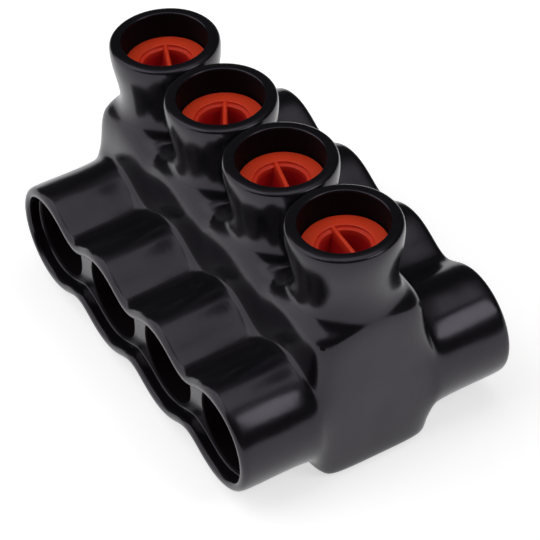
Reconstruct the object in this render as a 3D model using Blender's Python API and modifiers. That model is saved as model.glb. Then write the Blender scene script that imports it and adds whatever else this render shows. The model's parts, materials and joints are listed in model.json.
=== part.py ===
"""Insulated multi-tap connector with wire ports on both sides.

An aluminium block with a row of through ports and a set screw over each port sits inside one
dip-moulded jacket. Red push-in plugs close the screw wells and the wire ports.

Metres. X runs along the wires, Y along the row of taps, Z up. The origin is under the middle.
"""

import math

import bmesh
import bpy
from mathutils import Matrix, Vector

# Row of taps
TAPS = 4
PITCH = 0.0254

# Aluminium block
BLOCK_WIDTH = 0.0238
BLOCK_HEIGHT = 0.0358
BLOCK_END = 0.0098  # metal past the last screw axis
BLOCK_EDGE = 0.0013
PORT_HEIGHT = 0.0136  # port axis above the underside of the block
PORT_RADIUS = 0.0083

# Set screws
SCREW_RADIUS = 0.0079
SCREW_LENGTH = 0.0160
SCREW_EDGE = 0.0007
SCREW_TIP_RADIUS = 0.0042
SCREW_TIP_HEIGHT = 0.0030
HEX_ACROSS_FLATS = 0.00794
HEX_DEPTH = 0.0070
THREAD_GAP = 0.0003
SCREW_OVER_PORT = 0.0004  # tip of the backed-off screw above the port

# Jacket around the block
FIT = 0.0003
SIDE_WALL = 0.0023
END_WALL = 0.0024
FLOOR_WALL = 0.0025
FLOOR_SAG = 0.00012  # sag of the moulded underside, pressed flat where it stands
TOP_WALL = 0.0023

# Chimneys over the screws
CHIMNEY_HEIGHT = 0.0198  # rim above the top of the body
ROOT_RADIUS = 0.0122
NECK_RADIUS = 0.0112
NECK_START = 0.12  # shares of the chimney's height
NECK_END = 0.40
RIM_START = 0.75
RIM_RADIUS = 0.0129
RIM_EDGE = 0.0008
WELL_RADIUS = 0.00995

# Barrels around the wire ports
BARREL_LENGTH = 0.0200
BARREL_RADIUS = 0.0138
BARREL_FLARE = 0.0007
FLARE_END = 0.14  # share of the barrel's length
UPPER_VALLEY = 0.0084  # valley between two barrels, above the port axis
LOWER_VALLEY = 0.0091  # and under it
END_CORNER = 32.0  # degrees, cage corner on the outer side of the last barrel
MOUTH_EDGE = 0.0012
MOUTH_WALL = 0.0022
RECESS_DEPTH = 0.0024
ENTRY_RADIUS = 0.0100

# Melt of the dipped plastisol where chimneys and barrels leave the body
MELT_REACH = 0.45  # share of a chimney or barrel over which the melt fades out
MELT_PASSES = 4
MELT_STRENGTH = 0.5

# Push-in plugs, one moulding for the wells and the ports
PLUG_FIT = 0.0003
PLUG_RING = 0.0033
PLUG_STEP = 0.0008
PLUG_DEPTH = 0.0082
PLUG_WALL = 0.0013
PLUG_SKIRT = 0.0045
PLUG_DRAFT = 0.0006
RIB_TOP = 0.0008
RIB_BASE = 0.0030
RIB_LEAN = 0.0006  # top of the rib to one side of its base
RIB_BELOW_RING = 0.0002
CAP_BELOW_RIM = 0.0064
PLUG_BELOW_MOUTH = 0.0105
CAP_TURNS = (68.0, 60.0, 76.0, 86.0)  # degrees, how each cap happened to be pushed in

# Facets
ROUND_STEPS = 28
PLUG_STEPS = 16
SHARP_ANGLE = 35.0  # degrees
JACKET_LEVELS = 1
JACKET_KEPT = 0.60  # share of the jacket's outer facets that its form needs
RING_CORNERS = 16  # corners of the cage around a chimney
CAGE_EDGE = ((0.0, 1.3), (0.3, 0.3), (1.6, 0.0))  # a rounded edge: shares of it inward and down
CAGE_FULL = 1.035  # a cage stands this much outside the barrel that it makes

# Places that follow from the sizes above
BLOCK_LENGTH = (TAPS - 1) * PITCH + 2 * BLOCK_END
BLOCK_BASE = FLOOR_WALL + FIT
BLOCK_TOP = BLOCK_BASE + BLOCK_HEIGHT
AXIS_Z = BLOCK_BASE + PORT_HEIGHT
BODY_X = BLOCK_WIDTH / 2 + FIT + SIDE_WALL
BODY_Y = BLOCK_LENGTH / 2 + FIT + END_WALL
BODY_TOP = BLOCK_TOP + FIT + TOP_WALL
RIM_Z = BODY_TOP + CHIMNEY_HEIGHT
MOUTH_X = BODY_X + BARREL_LENGTH
TAP_Y = [((TAPS - 1) / 2 - i) * PITCH for i in range(TAPS)]


def clear_scene():
    for obj in list(bpy.data.objects):
        bpy.data.objects.remove(obj, do_unlink=True)


def collection(name):
    made = bpy.data.collections.new(name)
    bpy.context.scene.collection.children.link(made)
    return made


def material(name, colour, roughness, metallic=0.0):
    made = bpy.data.materials.new(name)
    made.use_nodes = True
    shader = made.node_tree.nodes["Principled BSDF"]
    shader.inputs["Base Color"].default_value = (*colour, 1.0)
    shader.inputs["Roughness"].default_value = roughness
    shader.inputs["Metallic"].default_value = metallic
    return made


def place(name, mesh, home, finish=None):
    """A new object of this mesh in a collection, shaded smooth apart from its sharp edges."""
    obj = bpy.data.objects.new(name, mesh)
    home.objects.link(obj)
    if finish and not mesh.materials:
        mesh.materials.append(finish)
    mesh.shade_smooth()
    mesh.set_sharp_from_angle(angle=math.radians(SHARP_ANGLE))
    return obj


def guide(name, mesh, home):
    """A cutter: drawn as wire and left out of a render."""
    obj = place(name, mesh, home)
    obj.hide_render = True
    obj.display_type = "WIRE"
    return obj


def mesh_of(name, bm):
    bmesh.ops.recalc_face_normals(bm, faces=bm.faces)
    mesh = bpy.data.meshes.new(name)
    bm.to_mesh(mesh)
    bm.free()
    return mesh


def box_mesh(name, size, centre, edge=0.0):
    """A box, with its edges bevelled if an edge width is given."""
    bm = bmesh.new()
    bmesh.ops.create_cube(bm, size=1.0, matrix=Matrix.LocRotScale(Vector(centre), None, Vector(size)))
    if edge:
        bmesh.ops.bevel(bm, geom=bm.edges, offset=edge, segments=1, affect="EDGES")
    return mesh_of(name, bm)


def cylinder_mesh(name, radius, start, end, steps=ROUND_STEPS):
    """A closed cylinder between two points."""
    start, end = Vector(start), Vector(end)
    along = end - start
    turn = along.to_track_quat("Z", "Y").to_matrix().to_4x4()
    bm = bmesh.new()
    bmesh.ops.create_cone(bm, cap_ends=True, segments=steps, radius1=radius, radius2=radius,
                          depth=along.length, matrix=Matrix.Translation((start + end) / 2) @ turn)
    return mesh_of(name, bm)


def turned(name, profile, home, steps, finish=None):
    """A profile of (radius, height) points, top to bottom down its outer side, turned about Z."""
    mesh = bpy.data.meshes.new(name)
    mesh.from_pydata([(r, 0.0, z) for r, z in profile], [(i, i + 1) for i in range(len(profile) - 1)], [])
    obj = bpy.data.objects.new(name, mesh)
    home.objects.link(obj)
    spin = obj.modifiers.new("Turn", "SCREW")
    spin.steps = spin.render_steps = steps
    spin.use_merge_vertices = True
    spin.merge_threshold = 0.00001
    if finish:
        mesh.materials.append(finish)
    return obj


def baked(obj):
    """The object with its modifiers worked into its mesh."""
    bpy.context.view_layer.update()
    graph = bpy.context.evaluated_depsgraph_get()
    mesh = bpy.data.meshes.new_from_object(obj.evaluated_get(graph))
    obj.modifiers.clear()
    obj.data = mesh
    return obj


def subtract(obj, other, self_cross=False):
    """Cuts one object, or every object of a collection, out of this one."""
    cut = obj.modifiers.new("Cut", "BOOLEAN")
    cut.operation = "DIFFERENCE"
    cut.solver = "EXACT"
    cut.use_self = self_cross
    if isinstance(other, bpy.types.Collection):
        cut.operand_type = "COLLECTION"
        cut.collection = other
    else:
        cut.object = other


def unite(obj, other):
    join = obj.modifiers.new("Join", "BOOLEAN")
    join.operation = "UNION"
    join.solver = "EXACT"
    join.object = other


# Jacket

def ring_share(count):
    """How far a subdivided ring of this many corners draws in from its corners."""
    return (2 + math.cos(2 * math.pi / count)) / 3


def on_disc(u, v):
    """A point of the square from -1 to 1 moved to the disc, each square ring onto a round one."""
    if u == 0 and v == 0:
        return 0.0, 0.0
    if abs(u) >= abs(v):
        reach, angle = u, math.pi / 4 * (v / u)
        return reach * math.cos(angle), reach * math.sin(angle)
    reach, angle = v, math.pi / 4 * (u / v)
    return reach * math.sin(angle), reach * math.cos(angle)


def chimney_levels():
    """(radius, height) of each ring, from the root on the body's top up to the rim and over it."""
    full = 1 / ring_share(RING_CORNERS)
    levels = [
        (ROOT_RADIUS * full, BODY_TOP),
        (NECK_RADIUS * full, BODY_TOP + NECK_START * CHIMNEY_HEIGHT),
        (NECK_RADIUS * full, BODY_TOP + NECK_END * CHIMNEY_HEIGHT),
        (RIM_RADIUS * full, BODY_TOP + RIM_START * CHIMNEY_HEIGHT),
    ]
    for inward, down in CAGE_EDGE:
        levels.append(((RIM_RADIUS - inward * RIM_EDGE) * full, RIM_Z - down * RIM_EDGE))
    return levels


def barrel_levels():
    """(barrel radius, distance from the middle) of each outline, from the body out to the mouth."""
    radius = BARREL_RADIUS * CAGE_FULL
    return (
        (radius + BARREL_FLARE, BODY_X),
        (radius, BODY_X + FLARE_END * BARREL_LENGTH),
        (radius, MOUTH_X - 2 * MOUTH_EDGE),
        (radius, MOUTH_X - MOUTH_EDGE / 2),
        (radius - MOUTH_EDGE, MOUTH_X),
    )


def valley(radius, row):
    """Height of the cage's valley between two barrels, so that the finished one has its height."""
    shoulder = math.sqrt(radius ** 2 - (PITCH / 4) ** 2)
    height = UPPER_VALLEY if row > 0 else LOWER_VALLEY
    return 1.5 * (height + radius - BARREL_RADIUS) - 0.5 * shoulder


def barrel_point(radius, y, row):
    """Where a corner of the side grid goes on the outline of the row of barrels.

    row is 1 over the port axis, -1 under it and 0 on it. The grid has lines on each axis, a
    quarter pitch either side of it, between the taps and at the row's two ends.
    """
    tap = min(TAP_Y, key=lambda centre: abs(centre - y))
    quarters = round((y - tap) / (PITCH / 4))
    if abs(quarters) < 2:
        rise = math.sqrt(radius ** 2 - (quarters * PITCH / 4) ** 2)
        return y, AXIS_Z + row * rise
    if round(abs(y) / (PITCH / 4)) == 2 * TAPS:
        angle = math.radians(END_CORNER) * row
        return tap + math.copysign(radius * math.cos(angle), y), AXIS_Z + radius * math.sin(angle)
    return y, AXIS_Z + row * valley(radius, row)


def box_grid(bm):
    """The body as a box whose faces are cut along the lines that the patches need."""
    size = Vector((2 * BODY_X, 2 * BODY_Y, BODY_TOP + FLOOR_SAG))
    centre = Vector((0, 0, (BODY_TOP - FLOOR_SAG) / 2))
    bmesh.ops.create_cube(bm, size=1.0, matrix=Matrix.LocRotScale(centre, None, size))
    lines = [((x, 0, 0), (1, 0, 0)) for x in (-BODY_X / 2, 0, BODY_X / 2)]
    quarters = range(-2 * TAPS, 2 * TAPS + 1)
    lines += [((0, q * PITCH / 4, 0), (0, 1, 0)) for q in quarters]
    rows = (AXIS_Z - BARREL_RADIUS, AXIS_Z, AXIS_Z + BARREL_RADIUS)
    lines += [((0, 0, z), (0, 0, 1)) for z in rows]
    for point, normal in lines:
        bmesh.ops.bisect_plane(bm, geom=bm.verts[:] + bm.edges[:] + bm.faces[:],
                               plane_co=point, plane_no=normal)


def draw_out(bm, faces, seat, levels, where):
    """Extrudes a patch once for each level and puts its corners where that level has them."""
    for level in levels:
        grown = bmesh.ops.extrude_face_region(bm, geom=faces)["geom"]
        bmesh.ops.delete(bm, geom=faces, context="FACES")
        faces = [part for part in grown if isinstance(part, bmesh.types.BMFace)]
        for corner in {corner for face in faces for corner in face.verts}:
            corner.co = where(level, corner[seat])


def jacket_cage():
    """The box with each chimney drawn up out of its cell and each row of barrels drawn sideways."""
    bm = bmesh.new()
    box_grid(bm)
    seat = bm.verts.layers.float_vector.new("seat")
    for corner in bm.verts:
        corner[seat] = corner.co
    half_cell = PITCH / 2
    for tap in TAP_Y:
        cell = [f for f in bm.faces if abs(f.calc_center_median().z - BODY_TOP) < FIT
                and abs(f.calc_center_median().y - tap) < half_cell]

        def on_chimney(level, point):
            radius, height = level
            u, v = on_disc(round(point.x / BODY_X, 3), round((point.y - tap) / half_cell, 3))
            return Vector((radius * u, tap + radius * v, height))

        draw_out(bm, cell, seat, chimney_levels(), on_chimney)
    for side in (-1, 1):
        wall = [f for f in bm.faces if abs(f.calc_center_median().x - side * BODY_X) < FIT
                and abs(f.calc_center_median().z - AXIS_Z) < BARREL_RADIUS
                and abs(f.calc_center_median().y) < TAPS * half_cell]

        def on_barrels(level, point):
            radius, reach = level
            row = round((point.z - AXIS_Z) / BARREL_RADIUS)
            y, z = barrel_point(radius, point.y, row)
            return Vector((side * reach, y, z))

        draw_out(bm, wall, seat, barrel_levels(), on_barrels)
    bm.verts.layers.float_vector.remove(seat)
    return mesh_of("insulating_jacket", bm)


def recess_mesh(name, side):
    """The scalloped space just inside the mouths, which joins them at mid height."""
    radius = BARREL_RADIUS - MOUTH_WALL
    slot = UPPER_VALLEY - MOUTH_WALL
    notch = math.asin(slot / radius)
    steps = ROUND_STEPS // 2
    outline = []
    for half in (1, -1):
        row = TAP_Y[::half]
        for tap in row:
            first = 0.0 if tap == row[0] else notch
            last = math.pi if tap == row[-1] else math.pi - notch
            for i in range(steps if tap == row[-1] else steps + 1):
                angle = first + (last - first) * i / steps
                reach = half * radius
                outline.append((tap + reach * math.cos(angle), AXIS_Z + reach * math.sin(angle)))
    bm = bmesh.new()
    floor = side * (MOUTH_X - RECESS_DEPTH)
    face = bm.faces.new([bm.verts.new((floor, y, z)) for y, z in outline])
    grown = bmesh.ops.extrude_face_region(bm, geom=[face])["geom"]
    bmesh.ops.translate(bm, vec=(side * 2 * RECESS_DEPTH, 0, 0),
                        verts=[part for part in grown if isinstance(part, bmesh.types.BMVert)])
    bmesh.ops.holes_fill(bm, edges=bm.edges)
    return mesh_of(name, bm)


def melt(jacket):
    """Rounds the body and the roots of its chimneys and barrels, and leaves the rims crisp."""
    group = jacket.vertex_groups.new(name="melt")
    for corner in jacket.data.vertices:
        up = (corner.co.z - BODY_TOP) / CHIMNEY_HEIGHT
        out = (abs(corner.co.x) - BODY_X) / BARREL_LENGTH
        group.add([corner.index], max(1 - max(up, out, 0.0) / MELT_REACH, 0.0), "REPLACE")
    soften = jacket.modifiers.new("Melt", "SMOOTH")
    soften.factor = MELT_STRENGTH
    soften.iterations = MELT_PASSES
    soften.vertex_group = group.name


def build_jacket(parts, cutters, finish):
    hollows = bpy.data.collections.new("jacket_hollows")
    cutters.children.link(hollows)
    size = (BLOCK_WIDTH + 2 * FIT, BLOCK_LENGTH + 2 * FIT, BLOCK_HEIGHT + 2 * FIT)
    centre = (0, 0, BLOCK_BASE + BLOCK_HEIGHT / 2)
    guide("block_space", box_mesh("block_space", size, centre, BLOCK_EDGE), hollows)
    table = (4 * BODY_X, 4 * BODY_Y, FLOOR_WALL)
    guide("table_space", box_mesh("table_space", table, (0, 0, -FLOOR_WALL / 2)), hollows)
    for i, y in enumerate(TAP_Y):
        well = cylinder_mesh(f"well_{i + 1}", WELL_RADIUS, (0, y, BLOCK_TOP), (0, y, RIM_Z + RIM_EDGE))
        guide(f"well_{i + 1}", well, hollows)
        entry = cylinder_mesh(f"entry_{i + 1}", ENTRY_RADIUS, (-MOUTH_X, y, AXIS_Z), (MOUTH_X, y, AXIS_Z))
        guide(f"entry_{i + 1}", entry, hollows)
    guide("recess_left", recess_mesh("recess_left", -1), hollows)
    guide("recess_right", recess_mesh("recess_right", 1), hollows)
    jacket = place("insulating_jacket", jacket_cage(), parts, finish)
    smooth = jacket.modifiers.new("Dip", "SUBSURF")
    smooth.levels = smooth.render_levels = JACKET_LEVELS
    melt(jacket)
    thin = jacket.modifiers.new("Facets", "DECIMATE")
    thin.ratio = JACKET_KEPT
    subtract(jacket, hollows, self_cross=True)
    return jacket


# Block and screws

def build_block(parts, cutters, finish):
    holes = bpy.data.collections.new("block_holes")
    cutters.children.link(holes)
    for i, y in enumerate(TAP_Y):
        port = cylinder_mesh(f"port_{i + 1}", PORT_RADIUS,
                             (-BLOCK_WIDTH, y, AXIS_Z), (BLOCK_WIDTH, y, AXIS_Z))
        guide(f"port_{i + 1}", port, holes)
        tapped = cylinder_mesh(f"tapped_hole_{i + 1}", SCREW_RADIUS + THREAD_GAP,
                               (0, y, AXIS_Z), (0, y, BLOCK_TOP + FIT))
        guide(f"tapped_hole_{i + 1}", tapped, holes)
    size = (BLOCK_WIDTH, BLOCK_LENGTH, BLOCK_HEIGHT)
    centre = (0, 0, BLOCK_BASE + BLOCK_HEIGHT / 2)
    block = place("connector_block", box_mesh("connector_block", size, centre, BLOCK_EDGE), parts, finish)
    subtract(block, holes)
    return block


def screw_mesh(cutters, finish):
    """Headless screw with a hexagon socket and a crowned tip. Its origin is the middle of the tip."""
    profile = (
        (0.0, SCREW_LENGTH),
        (SCREW_RADIUS - SCREW_EDGE, SCREW_LENGTH),
        (SCREW_RADIUS, SCREW_LENGTH - SCREW_EDGE),
        (SCREW_RADIUS, SCREW_TIP_HEIGHT),
        (SCREW_TIP_RADIUS, 0.0),
        (0.0, 0.0),
    )
    blank = turned("screw_blank", profile, cutters, ROUND_STEPS, finish)
    socket = bmesh.new()
    corner = HEX_ACROSS_FLATS / math.sqrt(3)
    centre = SCREW_LENGTH - HEX_DEPTH / 2 + SCREW_EDGE / 2
    bmesh.ops.create_cone(socket, cap_ends=True, segments=6, radius1=corner, radius2=corner,
                          depth=HEX_DEPTH + SCREW_EDGE, matrix=Matrix.Translation((0, 0, centre)))
    key_way = guide("hex_socket", mesh_of("hex_socket", socket), cutters)
    subtract(blank, key_way)
    mesh = baked(blank).data
    bpy.data.objects.remove(blank, do_unlink=True)
    return mesh


def build_screws(parts, cutters, finish):
    mesh = screw_mesh(cutters, finish)
    for i, y in enumerate(TAP_Y):
        screw = place(f"set_screw_{i + 1}", mesh, parts, finish)
        screw.location = (0, y, AXIS_Z + PORT_RADIUS + SCREW_OVER_PORT)


# Plugs

def plug_mesh(radius, cutters, finish):
    """A cup with a flat ring, a small step, a gripping skirt and a rib across it to pull it by.

    Its origin is the middle of the ring's upper face.
    """
    ring = radius - PLUG_RING
    cup = ring - PLUG_STEP
    base = cup - PLUG_DRAFT
    floor = PLUG_DEPTH - PLUG_WALL
    profile = (
        (0.0, -floor),
        (base, -floor),
        (cup, -PLUG_STEP),
        (ring, -PLUG_STEP),
        (ring, 0.0),
        (radius, 0.0),
        (radius, -PLUG_SKIRT),
        (radius - PLUG_WALL, -PLUG_SKIRT),
        (radius - PLUG_WALL, -PLUG_WALL - PLUG_STEP),
        (cup + PLUG_WALL, -PLUG_WALL - PLUG_STEP),
        (base + PLUG_WALL, -PLUG_DEPTH),
        (0.0, -PLUG_DEPTH),
    )
    blank = turned("plug_blank", profile, cutters, PLUG_STEPS, finish)
    rib = bmesh.new()
    bmesh.ops.create_cube(rib, size=2.0)
    for corner in rib.verts:
        lengthways, across, up = corner.co
        if up > 0:
            reach = ring + PLUG_WALL / 4
            corner.co = (lengthways * reach, across * RIB_TOP / 2 - RIB_LEAN, -RIB_BELOW_RING)
        else:
            reach = base + PLUG_WALL / 2
            corner.co = (lengthways * reach, across * RIB_BASE / 2, -floor - PLUG_WALL / 2)
    grip = guide("pull_rib", mesh_of("pull_rib", rib), cutters)
    unite(blank, grip)
    mesh = baked(blank).data
    bpy.data.objects.remove(blank, do_unlink=True)
    return mesh


def build_plugs(parts, cutters, finish):
    cap = plug_mesh(WELL_RADIUS - PLUG_FIT, cutters, finish)
    for i, (y, turn) in enumerate(zip(TAP_Y, CAP_TURNS * TAPS)):
        obj = place(f"screw_cap_{i + 1}", cap, parts, finish)
        obj.location = (0, y, RIM_Z - CAP_BELOW_RIM)
        obj.rotation_euler = (0, 0, math.radians(turn))
    plug = plug_mesh(ENTRY_RADIUS - PLUG_FIT, cutters, finish)
    for side, word in ((-1, "left"), (1, "right")):
        for i, y in enumerate(TAP_Y):
            obj = place(f"port_plug_{word}_{i + 1}", plug, parts, finish)
            obj.location = (side * (MOUTH_X - PLUG_BELOW_MOUTH), y, AXIS_Z)
            obj.rotation_euler = (0, side * math.pi / 2, 0)


def main():
    clear_scene()
    parts = collection("insulated_multi_tap_connector")
    cutters = collection("cutters")
    plastisol = material("black_plastisol", (0.012, 0.011, 0.014), 0.22)
    aluminium = material("tin_plated_aluminium", (0.75, 0.75, 0.76), 0.38, 1.0)
    screw_metal = material("plated_screw_aluminium", (0.62, 0.62, 0.64), 0.32, 1.0)
    red = material("red_polyethylene", (0.62, 0.03, 0.012), 0.35)
    build_jacket(parts, cutters, plastisol)
    build_block(parts, cutters, aluminium)
    build_screws(parts, cutters, screw_metal)
    build_plugs(parts, cutters, red)


main()
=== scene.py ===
"""Looks of the insulated multi-tap connector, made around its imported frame.

The file is laid out as an add-on and run as a script. Metres. X runs along the wires, Y along the
row of taps, Z up, and the origin is under the middle, as in the frame.
"""

import json
import math

import bmesh
import bpy
from bpy.props import FloatProperty, FloatVectorProperty, IntProperty, PointerProperty
from mathutils import Matrix, Vector


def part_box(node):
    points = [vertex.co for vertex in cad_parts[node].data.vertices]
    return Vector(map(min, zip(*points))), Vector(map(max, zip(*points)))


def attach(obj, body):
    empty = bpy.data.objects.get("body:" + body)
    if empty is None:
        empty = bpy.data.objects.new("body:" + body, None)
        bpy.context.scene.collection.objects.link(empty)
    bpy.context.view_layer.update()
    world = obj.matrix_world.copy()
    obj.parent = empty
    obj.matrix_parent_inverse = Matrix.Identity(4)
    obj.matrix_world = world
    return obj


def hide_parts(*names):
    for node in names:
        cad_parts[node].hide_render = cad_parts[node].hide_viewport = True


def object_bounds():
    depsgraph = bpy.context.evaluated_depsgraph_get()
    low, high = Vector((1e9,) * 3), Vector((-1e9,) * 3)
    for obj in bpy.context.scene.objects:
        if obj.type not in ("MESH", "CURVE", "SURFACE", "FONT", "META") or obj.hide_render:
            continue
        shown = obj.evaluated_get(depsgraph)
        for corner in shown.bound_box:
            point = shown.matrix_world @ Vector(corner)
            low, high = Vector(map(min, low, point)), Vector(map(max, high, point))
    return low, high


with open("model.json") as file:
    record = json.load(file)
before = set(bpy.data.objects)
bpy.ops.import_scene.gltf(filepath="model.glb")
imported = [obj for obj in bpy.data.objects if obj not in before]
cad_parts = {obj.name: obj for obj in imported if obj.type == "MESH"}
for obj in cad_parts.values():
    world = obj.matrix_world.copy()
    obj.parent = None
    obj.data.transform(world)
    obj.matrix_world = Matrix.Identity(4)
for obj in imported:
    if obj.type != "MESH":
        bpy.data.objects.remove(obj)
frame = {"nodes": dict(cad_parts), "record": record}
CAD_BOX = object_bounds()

bl_info = {
    "name": "Insulated Multi-Tap Connector",
    "version": (1, 0, 0),
    "blender": (4, 5, 0),
    "location": "3D View > Sidebar > Connector",
    "description": "Makes the finished pieces of an insulated multi-tap connector",
    "category": "Add Mesh",
}


def seat_of(node, towards):
    """The middle of the side of a node's box that faces this way."""
    low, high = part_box(node)
    half = (high - low) / 2
    return (low + high) / 2 + Vector([way * reach for way, reach in zip(towards, half)])


# Places that the frame gives
TAPS = sum(name.startswith("set_screw_") for name in frame["nodes"])
TAP_Y = [round(seat_of(f"set_screw_{i + 1}", (0, 0, 0)).y, 4) for i in range(TAPS)]
PITCH = TAP_Y[0] - TAP_Y[1]
BLOCK_LOW, BLOCK_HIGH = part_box("connector_block")
AXIS_Z = round(seat_of("port_plug_left_1", (0, 0, 0)).z, 4)
RIM_Z = round(CAD_BOX[1].z, 4)
MOUTH_X = round(CAD_BOX[1].x, 4)

# How finely round things are made
ROUND_STEPS = 96
FILLET_STEPS = 5
SCREW_STEPS = 72
ROWS_PER_TURN = 8  # of a thread
SHARP_ANGLE = math.radians(38)

# Shapes
RING_CORNERS = 16  # corners of the cage around a chimney
CAGE_EDGE = ((0.0, 1.3), (0.3, 0.3), (1.6, 0.0))  # a rounded edge: shares of it inward and down
CAGE_LIP = ((2.0, 0.0), (0.0, 0.0), (0.0, 2.0))  # a tighter edge: shares of it outward and down
CAGE_FULL = 1.035  # a cage stands this much outside the barrel that it makes
CELL_CORNER = 0.9  # a point of a cell is a corner past this product of its two shares
ROOM_REACH = 1.2  # shares of the fit: as far from the block as the skin around it lies
THREAD_FLANK = (0.12, 0.88)  # where a flank starts and ends, from crest to root
RIB_ROUND = 0.35  # share of the rib's width that is rounded on each side

# Finishes
INSIDE_PAINTED_SHADE = 0.7  # painted shade: colour of the jacket's inside, darkened as a share of its outside's
COOL_GLOSS = (0.92, 0.85, 1.0, 1.0)  # the gloss of plastisol is faintly purple
TOOL_LINES = (-0.08, 0.12)  # how much the lines of a tool change a metal's roughness

# Stage
FLOOR_REACH = 40.0
SENSOR_WIDTH = 36.0
NEAREST, FARTHEST = 0.01, 200.0  # what the camera sees lies between these distances
HORIZON_GLOW = (0.0, 0.04)  # height of direction over which the white sweep fades into the walls
CEILING_RISE = (0.72, 1.0)  # and over which the ceiling brightens
LAMPS = (
    # name, azimuth and elevation in degrees, width and height in metres, distance, radiance
    ("key_softbox", 32.0, 42.0, 0.50, 0.56, 1.2, 2.8),
    ("side_panel", -120.0, 38.0, 1.40, 1.90, 1.3, 1.2),
    ("top_panel", 100.0, 82.0, 0.90, 0.90, 1.3, 0.7),
)


def length(name, default, description):
    """A size in metres."""
    return FloatProperty(name=name, description=description, default=default, min=0.0,
                         precision=5, subtype="DISTANCE", unit="LENGTH")


def share(name, default, description):
    """A part of something, from 0 to 1."""
    return FloatProperty(name=name, description=description, default=default, min=0.0, max=1.0,
                         subtype="FACTOR")


def colour(name, default, description):
    """A colour in linear light."""
    return FloatVectorProperty(name=name, description=description, default=default, size=3,
                               min=0.0, max=1.0, subtype="COLOR")


class JacketSizes(bpy.types.PropertyGroup):
    """Sizes and colour of the dip-moulded jacket."""

    fit: length("Fit", 0.0003, "Gap between the block and the jacket")
    side_wall: length("Side wall", 0.0023, "Wall beside the block")
    end_wall: length("End wall", 0.0024, "Wall at the two ends of the block")
    top_wall: length("Top wall", 0.0023, "Wall over the block")
    floor_wall: length("Floor wall", 0.0025, "Wall under the block")
    floor_sag: length("Floor sag", 0.00012, "Sag of the underside, pressed flat where it stands")
    block_edge: length("Block edge", 0.0013, "Chamfer of the space for the block")
    root_radius: length("Root radius", 0.0122, "Chimney where it leaves the body")
    neck_radius: length("Neck radius", 0.0112, "Narrowest part of a chimney")
    neck_start: share("Neck start", 0.12, "Where the neck starts, as a share of the chimney's height")
    neck_end: share("Neck end", 0.40, "Where the neck ends, as a share of the chimney's height")
    rim_start: share("Rim start", 0.75, "Where the rim starts, as a share of the chimney's height")
    rim_radius: length("Rim radius", 0.0129, "Outer radius of a chimney's rim")
    rim_edge: length("Rim edge", 0.0008, "Rounding of the rim's outer edge")
    pocket: length("Pocket", 0.0016, "How far the cage sinks in the corners beside a chimney's root")
    pocket_share: share("Pocket share", 0.60, "Where a pocket lies, from the body's corner to the root")
    well_radius: length("Well radius", 0.00995, "Bore of a chimney")
    lip: length("Lip", 0.00028, "Rounding of the inner edges of rims and bores")
    barrel_radius: length("Barrel radius", 0.0138, "Outer radius of a barrel")
    barrel_flare: length("Barrel flare", 0.0007, "How much a barrel widens at the body")
    flare_end: share("Flare end", 0.14, "Where the flare ends, as a share of the barrel's length")
    upper_valley: length("Upper valley", 0.0084, "Valley between two barrels, above the port axis")
    lower_valley: length("Lower valley", 0.0091, "Valley between two barrels, under the port axis")
    end_corner: FloatProperty(name="End corner", default=math.radians(32.0), subtype="ANGLE",
                              description="Cage corner on the outer side of the last barrel")
    mouth_edge: length("Mouth edge", 0.0012, "Rounding of a mouth's outer edge")
    mouth_wall: length("Mouth wall", 0.0027, "Wall around the recess in the mouths")
    mouth_lip: length("Mouth lip", 0.00065, "Rounding of a mouth's inner edge")
    recess_depth: length("Recess depth", 0.0032, "Depth of the recess that joins the mouths")
    entry_radius: length("Entry radius", 0.0100, "Bore of a barrel")
    melt_reach: share("Melt reach", 0.45, "Share of a chimney or barrel over which the melt fades")
    melt_passes: IntProperty(name="Melt passes", default=4, min=0,
                             description="How often the melt is repeated")
    melt_strength: share("Melt strength", 0.5, "How much one pass melts")
    tint: colour("Tint", (0.0065, 0.0058, 0.0080), "Colour of the plastisol")


class PlugSizes(bpy.types.PropertyGroup):
    """Sizes and colour of the push-in plugs, which close the wells and the wire ports."""

    fit: length("Fit", 0.0003, "Gap between a plug and its bore")
    ring: length("Ring", 0.0033, "Width of the flat ring")
    step: length("Step", 0.0008, "Width and depth of the step inside the ring")
    depth: length("Depth", 0.0082, "Depth of the cup")
    wall: length("Wall", 0.0013, "Wall of the moulding")
    skirt: length("Skirt", 0.0045, "Height of the gripping skirt")
    draft: length("Draft", 0.0006, "How much the cup narrows to its floor")
    rib_top: length("Rib top", 0.0009, "Width of the rib at its top")
    rib_base: length("Rib base", 0.0030, "Width of the rib at the cup's floor")
    rib_lean: length("Rib lean", 0.0006, "How far the rib's top lies to one side of its base")
    rib_drop: length("Rib drop", 0.0002, "Top of the rib under the face of the ring")
    edge: length("Edge", 0.00016, "Rounding of the moulding's edges")
    turns: FloatVectorProperty(name="Cap turns", size=TAPS, unit="ROTATION",
                               default=[math.radians(turn) for turn in (68, 60, 76, 86)],
                               description="How each cap happened to be pushed in")
    tint: colour("Tint", (0.95, 0.064, 0.019), "Colour of the polyethylene")
    # painted shade: the darker, deeper red that the colour takes down in the cup
    cup_shade_tint: colour("Cup shade tint", (0.52, 0.010, 0.014), "Its colour down in the cup")


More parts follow.
